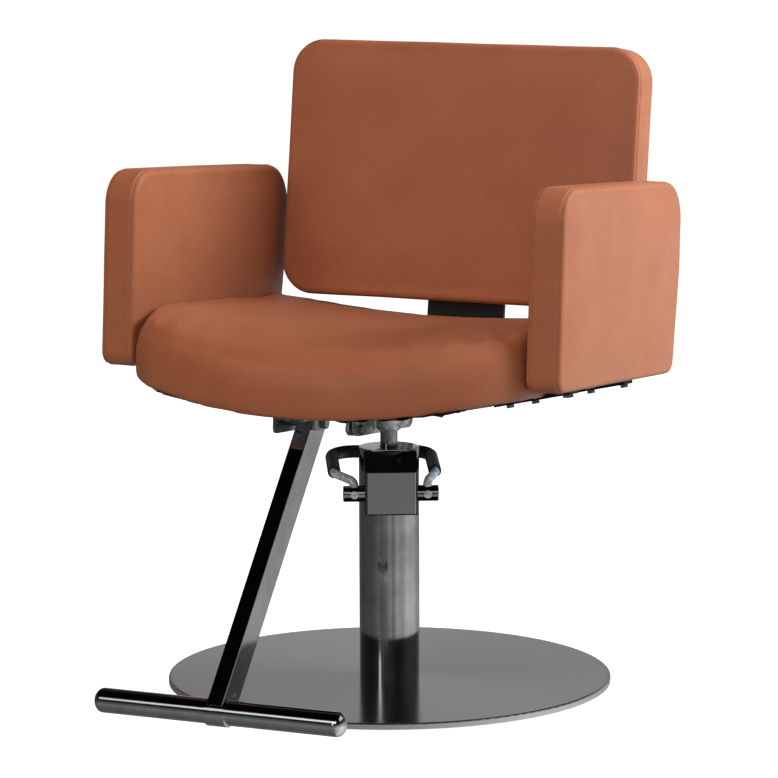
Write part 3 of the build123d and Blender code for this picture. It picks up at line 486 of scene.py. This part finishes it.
def rounded_loop(corners, step):
    """Closed loop past corners (u, v, radius), listed anticlockwise, as arcs and runs spaced about step."""
    arc_steps = 12
    points = []
    for i, (u, v, radius) in enumerate(corners):
        here = np.array([u, v])
        before = np.array(corners[i - 1][:2]) - here
        after = np.array(corners[(i + 1) % len(corners)][:2]) - here
        before, after = before / np.linalg.norm(before), after / np.linalg.norm(after)
        half = math.acos(np.clip(before @ after, -1, 1)) / 2
        centre = here + (before + after) / np.linalg.norm(before + after) * radius / math.sin(half)
        start, end = here + before * radius / math.tan(half), here + after * radius / math.tan(half)
        first = math.atan2(*(start - centre)[::-1])
        turn = (math.atan2(*(end - centre)[::-1]) - first) % (2 * math.pi)
        for k in range(arc_steps + 1):
            angle = first + turn * k / arc_steps
            points.append(centre + radius * np.array([math.cos(angle), math.sin(angle)]))
    points = np.array(points + [points[0]])
    along = np.r_[0, np.cumsum(np.linalg.norm(np.diff(points, axis=0), axis=1))]
    count = int(along[-1] / step)
    at = np.arange(count) * along[-1] / count
    return np.c_[np.interp(at, along, points[:, 0]), np.interp(at, along, points[:, 1])]


def inward_normals(loop):
    along = np.roll(loop, -3, axis=0) - np.roll(loop, 3, axis=0)
    along /= np.linalg.norm(along, axis=1)[:, None]
    return np.c_[-along[:, 1], along[:, 0]]


def quads_between(first, second, count):
    """Faces between two closed rings of points, each given by the number of its first point."""
    after = [(i + 1) % count for i in range(count)]
    return [(first + i, first + after[i], second + after[i], second + i) for i in range(count)]


class Slab:
    """Upholstered slab: two faces joined by a boxing band, with a seam along each edge.

    Its outline is in u and v, and w goes through it. Each point knows its distance from the middle of the
    band, over the surface, and its place along the outline.
    """

    def __init__(self, loop, thickness):
        inward = inward_normals(loop)
        bend = EDGE_R * math.pi / 2
        half_band = thickness / 2 - EDGE_R
        rim = loop + inward * EDGE_R
        middle, reach = (rim.max(0) + rim.min(0)) / 2, (rim.max(0) - rim.min(0)) / 2
        ridge = reach - reach.min()
        core = np.clip(rim, middle - ridge, middle + ridge)
        rings, places = [], []
        for s in np.linspace(0, half_band, BAND_STEPS)[:-1]:
            rings.append((loop, thickness / 2 - s))
            places.append(s)
        for s in np.linspace(0, bend, BEND_STEPS):
            angle = s / EDGE_R
            rings.append((loop + inward * EDGE_R * (1 - math.cos(angle)), EDGE_R * (1 - math.sin(angle))))
            places.append(half_band + s)
        for share in (np.linspace(0, 1, FACE_RINGS) ** FACE_SPREAD)[1:]:
            rings.append((rim + (core - rim) * share, 0.0))
            places.append(half_band + bend + share * reach.min())
        count = len(loop)
        near = [np.c_[ring, np.full(count, w)] for ring, w in rings]
        far = [np.c_[ring, np.full(count, thickness - w)] for ring, w in rings[1:]]
        self.points = np.vstack(near + far)
        self.distance = np.repeat(places + places[1:], count)
        self.along = np.tile(np.arange(count), len(near) + len(far))
        self.seam_at = half_band + SEAM_SHARE * bend
        self.faces = []
        for r in range(len(rings) - 1):
            self.faces += quads_between(r * count, (r + 1) * count, count)
            start = (len(rings) + r - 1) * count if r else 0
            self.faces += quads_between((len(rings) + r) * count, start, count)


def cleaned(obj):
    """Joins the points that lie on each other and turns every face outward."""
    bm = bmesh.new()
    bm.from_mesh(obj.data)
    bmesh.ops.remove_doubles(bm, verts=bm.verts, dist=0.00005)
    bmesh.ops.dissolve_degenerate(bm, edges=bm.edges, dist=0.00001)
    bmesh.ops.recalc_face_normals(bm, faces=bm.faces)
    bm.to_mesh(obj.data)
    bm.free()
    obj.data.shade_smooth()
    return obj


def outer_shell(obj):
    """Keeps the connected part of a mesh that has the most points, which is its outer skin."""
    bm = bmesh.new()
    bm.from_mesh(obj.data)
    left, groups = set(bm.verts), []
    while left:
        seed = next(iter(left))
        group, front = {seed}, [seed]
        while front:
            vert = front.pop()
            for edge in vert.link_edges:
                other = edge.other_vert(vert)
                if other not in group:
                    group.add(other)
                    front.append(other)
        left -= group
        groups.append(group)
    keep = max(groups, key=len)
    bmesh.ops.delete(bm, geom=[v for v in bm.verts if v not in keep], context="VERTS")
    bm.to_mesh(obj.data)
    bm.free()


def remeshed(source, name, voxel):
    """A copy of source with even voxel-sized quads."""
    copy = in_scene(name, source.data.copy())
    modifier = copy.modifiers.new("even", "REMESH")
    modifier.mode = "VOXEL"
    modifier.voxel_size = voxel
    modifier.use_smooth_shade = True
    bpy.context.view_layer.update()
    graph = bpy.context.evaluated_depsgraph_get()
    even = bpy.data.meshes.new_from_object(copy.evaluated_get(graph))
    copy.modifiers.clear()
    copy.data = even
    outer_shell(copy)
    return copy


def swelling(obj, pins, pressure):
    """How far each point moves when the cover is blown out from inside, with its pinned points held."""
    group = obj.vertex_groups.new(name="held")
    levels = np.round(pins, 1)
    for level in np.unique(levels):
        if level > 0:
            group.add([int(i) for i in np.flatnonzero(levels == level)], float(level), "REPLACE")
    cloth = obj.modifiers.new("cover", "CLOTH")
    settings = cloth.settings
    settings.quality = 4
    settings.mass = 0.3
    settings.tension_stiffness = settings.compression_stiffness = 20
    settings.shear_stiffness = 8
    settings.bending_stiffness = 0.6
    settings.use_pressure = True
    settings.uniform_pressure_force = pressure
    settings.effector_weights.gravity = 0
    settings.vertex_group_mass = "held"
    cloth.collision_settings.use_collision = False
    cloth.point_cache.frame_start, cloth.point_cache.frame_end = 1, CLOTH_FRAMES
    before = points_of(obj.data)
    for step in range(1, CLOTH_FRAMES + 1):
        bpy.context.scene.frame_set(step)
    graph = bpy.context.evaluated_depsgraph_get()
    after = points_of(obj.evaluated_get(graph).data)
    obj.modifiers.remove(cloth)
    bpy.context.scene.frame_set(1)
    return after - before


def capped(moves, most):
    """Moves with their length eased to at most this."""
    length = np.linalg.norm(moves, axis=1)
    return moves * (most * np.tanh(length / most) / np.maximum(length, 1e-9))[:, None]


def smoothed(mesh, values, rounds):
    """Values at the points, averaged over neighbours a number of times."""
    pairs = np.empty(len(mesh.edges) * 2, int)
    mesh.edges.foreach_get("vertices", pairs)
    a, b = pairs.reshape(-1, 2).T
    count = np.bincount(np.r_[a, b], minlength=len(values)).astype(float)[:, None]
    for _ in range(rounds):
        total = np.zeros_like(values)
        np.add.at(total, a, values[b])
        np.add.at(total, b, values[a])
        values = 0.5 * values + 0.5 * total / np.maximum(count, 1)
    return values


def carried(points, sources, moves, near=5):
    """The moves at new points, from the nearest source points."""
    tree = tree_of(sources)
    out = np.zeros((len(points), 3))
    for k, point in enumerate(points):
        found = tree.find_n(point, near)
        weights = np.array([1.0 / (distance**2 + 1e-6) for _, _, distance in found])
        out[k] = weights @ moves[[i for _, i, _ in found]] / weights.sum()
    return out


# ---------------------------------------------------------------- upholstery
def finish_pad(obj, node):
    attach(obj, "seat")
    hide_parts(node)


def seam_dip(distance, along):
    """Height of a plain seam, in mm: a narrow groove between two soft rolls, a little gathered."""
    gather = 0.75 + 0.25 * np.sin(along * 0.9) * np.sin(along * 0.23 + 1.3)
    groove = SEAM_DEPTH * np.exp(-((distance / SEAM_HALF) ** 2)) * gather
    return ROLL_HEIGHT * np.exp(-(((np.abs(distance) - ROLL_OFF) / ROLL_HALF) ** 2)) - groove


def seam_hold(points, slab_points, slab):
    """1 on the seams, falling to 0 a little way off them."""
    seam_reach, held_end, held_fade = 1.6, 0.010, 0.006
    tree = tree_of(slab_points[np.abs(slab.distance - slab.seam_at) < seam_reach])
    gaps = np.array([tree.find(p)[2] for p in points])
    return falling(gaps, held_end, held_fade)


def build_slab(name, slab, place, pressure, most, seed):
    """Slab mesh in the object's frame: swollen by a cloth simulation of its cover, then seamed.

    No point of it swells by more than most, in mm.
    """
    voxel, blending = 0.0065, 6
    obj = new_object(name, moved_by(place, slab.points * MM), slab.faces, "terracotta_vinyl")
    co = points_of(obj.data)
    closed = cleaned(new_object(name + "_cover", co, slab.faces, "terracotta_vinyl"))
    even = remeshed(closed, name + "_even", voxel)
    flat = points_of(even.data)
    held = seam_hold(flat, moved_by(place, slab.points * MM), slab)
    moves = capped(swelling(even, held, pressure), most * MM)
    co = co + carried(co, flat, smoothed(even.data, moves, blending))
    for extra in (closed, even):
        bpy.data.objects.remove(extra)
    set_points(obj.data, co)
    normals = outward(obj.data, co)
    dip = seam_dip(slab.distance - slab.seam_at, slab.along)
    rng = np.random.default_rng(seed)
    phases = rng.uniform(0, 6.28, WAVE_COUNT)
    wave = sum(np.sin(co @ rng.normal(0, WAVE_RATE, 3) + phase) for phase in phases) * WAVE_DEPTH
    set_points(obj.data, co + normals * ((dip + wave) * MM)[:, None])
    return cleaned(obj)


def build_arms():
    """Left arm from its side view, and the right arm as its mirror image."""
    corners = [(ARM_FRONT, ARM_BOTTOM, ARM_LOW_R), (ARM_REAR_LOW, ARM_BOTTOM, ARM_LOW_R),
               (ARM_REAR, ARM_BEND_Z, ARM_BEND_R), (ARM_REAR, ARM_TOP, ARM_TOP_REAR_R),
               (ARM_FRONT, ARM_TOP, ARM_TOP_FRONT_R)]
    slab = Slab(rounded_loop(corners, step=3.0), ARM_T)
    to_side = Matrix(((0, 0, 1, 0), (1, 0, 0, 0), (0, 1, 0, 0), (0, 0, 0, 1)))
    toe_in = Matrix.Rotation(math.radians(ARM_TOE), 4, "Z")
    there = Matrix.Translation((ARM_INNER_X * MM, ARM_TURN_Y * MM, 0))
    turned = there @ toe_in @ Matrix.Translation((0, -ARM_TURN_Y * MM, 0))
    left = build_slab("left_arm_upholstery", slab, SEAT @ turned @ to_side, pressure=5.0, most=6.5, seed=3)
    mesh = left.data.copy()
    set_points(mesh, points_of(mesh) * (-1, 1, 1))
    mesh.flip_normals()
    right = in_scene("right_arm_upholstery", mesh)
    for obj, node in ((left, "left_arm_pad"), (right, "right_arm_pad")):
        finish_pad(obj, node)


def build_back():
    half = BACK_W / 2
    corners = [(u, v, BACK_CORNER) for u, v in ((-half, 0), (half, 0), (half, BACK_H), (-half, BACK_H))]
    slab = Slab(rounded_loop(corners, step=3.2), BACK_T)
    to_front = Matrix(((1, 0, 0, 0), (0, 0, 1, 0), (0, 1, 0, 0), (0, 0, 0, 1)))
    back = build_slab("back_upholstery", slab, BACK @ to_front, pressure=4.0, most=5.0, seed=5)
    finish_pad(back, "back_cushion")


def shape_seat(mesh, co):
    """Rounds the seat's crown and front corners, and lowers its lower edge.

    Returns the new points, and the old ones in the seat's frame.
    """
    local = moved_by(SEAT.inverted(), co) / MM
    x, y, above = np.abs(local[:, 0]), local[:, 1], local[:, 2] - saddle_z(local[:, 0])
    ahead = falling(y, *FRONT_BEFORE)
    crown = rising(above, *CROWN_ABOVE) * falling(y, *CROWN_BEFORE)
    crown = crown * np.maximum(np.maximum(falling(x, *CROWN_WITHIN), 0.25), ahead)
    corner = ahead * rising(x, *CORNER_BEYOND) * crown
    for share, rounds in ((crown, 90), (corner, 45)):
        co = co + (smoothed(mesh, co, rounds) - co) * share[:, None]
    down = -np.array(SEAT.to_3x3())[:, 2]
    return co + down * (LIP_DROP * MM * falling(above, *LIP_BELOW))[:, None], local


def blow_out_seat(even, co, local):
    """The seat's points after its cover is drawn in and blown out, held low down, behind and beside."""
    drawn_in, pressure, most, blending = 0.003, 4.0, 0.008, 4
    x, y, above = np.abs(local[:, 0]), local[:, 1], local[:, 2] - saddle_z(local[:, 0])
    beside = rising(x, *HELD_BESIDE) * rising(y, *HELD_AFTER)
    held = np.maximum(np.maximum(falling(above, *HELD_BELOW), rising(y, *HELD_BEHIND)), beside)
    small = co - outward(even.data, co) * (drawn_in * (1 - held))[:, None]
    set_points(even.data, small)
    moves = capped(swelling(even, held, pressure), most)
    return small + smoothed(even.data, moves, blending)


def build_seat():
    """Seat cushion from its solid: evened out, rounded, blown out as a cloth cover, and subdivided."""
    even = remeshed(frame["nodes"]["seat_cushion"], "seat_upholstery", voxel=0.005)
    co, local = shape_seat(even.data, smoothed(even.data, points_of(even.data), rounds=3))
    set_points(even.data, co)
    set_points(even.data, blow_out_seat(even, co, local))
    bm = bmesh.new()
    bm.from_mesh(even.data)
    bmesh.ops.recalc_face_normals(bm, faces=bm.faces)
    bm.to_mesh(even.data)
    bm.free()
    even.data.shade_smooth()
    even.data.materials.clear()
    even.data.materials.append(LOOKS["terracotta_vinyl"])
    finer = even.modifiers.new("finer", "SUBSURF")
    finer.levels = finer.render_levels = 1
    finish_pad(even, "seat_cushion")


# ---------------------------------------------------------------- dust cloth
def cloth_side(y):
    return CLOTH_SIDE - CLOTH_TAPER * (y - CLOTH_SIDE_Y)


def on_cloth(x, y):
    """Whether a point is within the cloth's outline, which bows out in front and sweeps back beside it."""
    past = abs(x) - CLOTH_SHOULDER
    if past < 0:
        front = CLOTH_FRONT + CLOTH_BOW * (x / CLOTH_SHOULDER) ** 2
    else:
        front = CLOTH_FRONT + CLOTH_BOW + CLOTH_SWEEP * past**CLOTH_SWEEP_POWER
    return y >= front and abs(x) <= cloth_side(y)


def cloth_z(x, y):
    """Under the bent pan: rippled near the edge, most at its front left, and sagging in the middle."""
    from_front = y - CLOTH_FRONT - CLOTH_BOW * min(1, (x / CLOTH_SHOULDER) ** 2)
    edge = max(0, min(cloth_side(y) - abs(x), from_front, CLOTH_REAR - y))
    loose = max(rising(x, *LOOSE_BEYOND), LEAST_LOOSE[0]) * max(falling(y, *LOOSE_BEFORE), LEAST_LOOSE[1])
    ripple = CLOTH_SLACK + CLOTH_RIPPLE * math.sin(x * 0.16) * math.sin(y * 0.19 + x * 0.05)
    slack = math.exp(-edge / SLACK_REACH) * ripple * loose
    sag = CLOTH_SAG * (1 - math.exp(-edge / SAG_REACH))
    return saddle_z(x) - CLOTH_GAP - slack - sag


def build_dust_cover():
    """Black cloth stapled under the seat pan, with openings for the metalwork."""
    half_x, half_y = ARM_STRIP_OPENING
    openings = [MOUNT_OPENING, STRAP_OPENING, BRACKET_OPENING]
    openings += [(side * ARM_STRIP_X - half_x, side * ARM_STRIP_X + half_x, y - half_y, y + half_y)
                 for side in (-1, 1) for y in ARM_STRIP_PLACES]
    index, points, faces = {}, [], []

    def point(x, y):
        key = (round(x, 2), round(y, 2))
        if key not in index:
            index[key] = len(points)
            points.append((x, y, cloth_z(x, y)))
        return index[key]

    for x in np.arange(-270, 270, CLOTH_STEP):
        for y in np.arange(-296, 208, CLOTH_STEP):
            cx, cy = x + CLOTH_STEP / 2, y + CLOTH_STEP / 2
            if any(a < cx < b and c < cy < d for a, b, c, d in openings):
                continue
            cell = [(x, y), (x + CLOTH_STEP, y), (x + CLOTH_STEP, y + CLOTH_STEP), (x, y + CLOTH_STEP)]
            if all(on_cloth(*corner) for corner in cell):
                faces.append([point(*corner) for corner in cell])
    sheet = new_object("dust_cloth", moved_by(SEAT, np.array(points) * MM), faces, "black_cambric")
    thick = sheet.modifiers.new("thick", "SOLIDIFY")
    thick.thickness = CLOTH_T * MM
    thick.offset = 0
    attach(sheet, "seat")
    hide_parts("dust_cover")


# ---------------------------------------------------------------- floor, lights, camera
def glowing_white(name, base):
    made = bpy.data.materials.new(name)
    made.use_nodes = True
    shader = made.node_tree.nodes["Principled BSDF"]
    shader.inputs["Base Color"].default_value = rgb(base, base, base)
    shader.inputs["Roughness"].default_value = 1.0
    shader.inputs["Specular IOR Level"].default_value = 0.0
    shader.inputs["Emission Color"].default_value = rgb(1, 1, 1)
    shader.inputs["Emission Strength"].default_value = 1.0
    return made


def build_stage():
    """Floor and dome, seen by the camera alone: they don't light the chair or show in its chrome."""
    floor_half, dome_r = 60.0, 58.0
    mesh = bpy.data.meshes.new("floor")
    square = [(x * floor_half, y * floor_half, 0) for x, y in ((-1, -1), (1, -1), (1, 1), (-1, 1))]
    mesh.from_pydata(square, [], [(0, 1, 2, 3)])
    mesh.materials.append(glowing_white("floor_white", 0.28))
    floor = in_scene("floor", mesh)
    bpy.ops.mesh.primitive_uv_sphere_add(radius=dome_r, segments=48, ring_count=24)
    dome = bpy.context.object
    dome.name = "backdrop"
    dome.data.materials.append(glowing_white("backdrop_white", 0.0))
    dome.visible_shadow = False
    for obj in (floor, dome):
        obj.visible_diffuse = obj.visible_glossy = obj.visible_transmission = False


def build_world():
    """What lights the chair all round and shows in its metal: lit floor, dim walls, bright boxes."""
    world = bpy.data.worlds.new("studio")
    world.use_nodes = True
    bpy.context.scene.world = world
    nodes = Nodes(world.node_tree)
    way = nodes.add("ShaderNodeTexCoord").outputs["Generated"]
    split = nodes.add("ShaderNodeSeparateXYZ", {"Vector": way}).outputs
    height = nodes.math("ADD", nodes.math("MULTIPLY", split["Z"], 0.5), 0.5)
    angle = nodes.math("ARCTAN2", split["Y"], split["X"])
    turn = nodes.math("ADD", nodes.math("DIVIDE", angle, 2 * math.pi), 0.5)
    lit = 0.0
    for heights, turns, strength in BOXES:
        windows = [nodes.ramp(place, list(zip(stops, (0.0, 1.0, 1.0, 0.0))))
                   for place, stops in ((height, heights), (turn, turns))]
        lit = nodes.math("ADD", lit, nodes.math("MULTIPLY", nodes.math("MULTIPLY", *windows), strength))
    ground = nodes.product(nodes.ramp(turn, FLOOR_BY_TURN), nodes.ramp(height, FLOOR_BY_HEIGHT))
    ground = nodes.product(ground, rgb(FLOOR_GAIN, FLOOR_GAIN, FLOOR_GAIN))
    walls = nodes.product(nodes.ramp(turn, WALLS_BY_TURN), nodes.ramp(height, WALLS_BY_HEIGHT))
    shade = nodes.mix(nodes.ramp(height, HORIZON), ground, walls)
    shade = nodes.add("ShaderNodeVectorMath", {0: shade, 1: lit}, operation="ADD").outputs[0]
    background = world.node_tree.nodes["Background"]
    world.node_tree.links.new(shade, background.inputs["Color"])
    background.inputs["Strength"].default_value = 1.0


def build_lights():
    for name, (place, aim, size, power, colour) in LIGHTS.items():
        data = bpy.data.lights.new(name, "AREA")
        data.shape = "RECTANGLE"
        data.size, data.size_y = size
        data.energy = power
        data.color = colour
        light = in_scene(name, data)
        light.location = place
        light.rotation_euler = (Vector(aim) - Vector(place)).to_track_quat("-Z", "Y").to_euler()
        light.visible_glossy = False


def build_camera():
    """Long lens in front of the chair, on the side of its left arm, looking down a little."""
    look_down, round_z, roll = 8.75, 24.9, -0.2
    data = bpy.data.cameras.new("camera")
    data.sensor_width = 36.0
    data.lens = 191.568
    data.clip_start, data.clip_end = 0.1, 200
    camera = in_scene("camera", data)
    camera.location = (2.358, -5.079, 1.270)
    camera.rotation_mode = "QUATERNION"
    aim = Euler((math.radians(90 - look_down), 0, math.radians(round_z))).to_quaternion()
    camera.rotation_quaternion = aim @ Euler((0, 0, math.radians(roll))).to_quaternion()
    bpy.context.scene.camera = camera


dress_cad_nodes()
build_arms()
build_back()
build_seat()
build_dust_cover()
build_stage()
build_world()
build_lights()
build_camera()
bpy.context.scene.view_settings.view_transform = "Standard"
